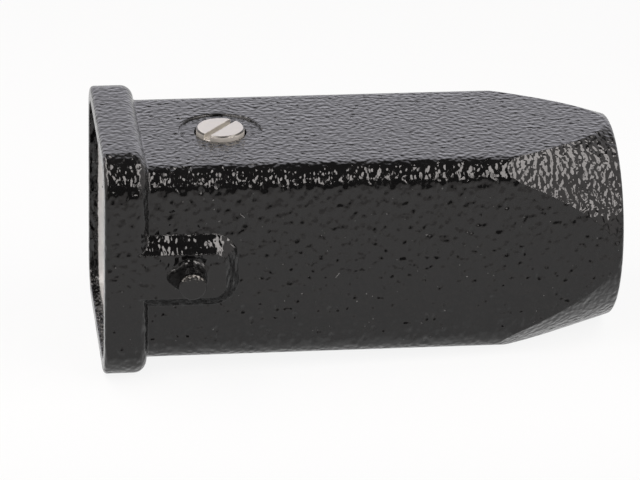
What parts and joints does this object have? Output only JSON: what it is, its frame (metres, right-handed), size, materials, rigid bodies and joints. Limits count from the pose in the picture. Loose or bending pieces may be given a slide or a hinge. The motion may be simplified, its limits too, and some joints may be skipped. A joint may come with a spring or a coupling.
{
  "type": "rectangular heavy-duty connector hood",
  "caption": "Square die-cast connector hood with a flanged mouth, cast locking pegs, a fixing screw and a straight threaded cable entry.",
  "frame": {"origin": "middle of the mouth plane, on the hood's long axis", "axes": "+X from the mouth to the cable end, +Z towards the fixing screw's head, Y through the two locking pegs"},
  "size_m": [0.0654, 0.0364, 0.0298],
  "materials": {
    "black_coat": "glossy black powder coat with a fine hammered texture, bare inside",
    "nickel": "satin nickel plating",
    "seal_rubber": "matt black"
  },
  "bodies": {
    "root": {"hood": "black_coat", "fixing_screw": "nickel", "screw_seal": "seal_rubber"}
  },
  "joints": []
}
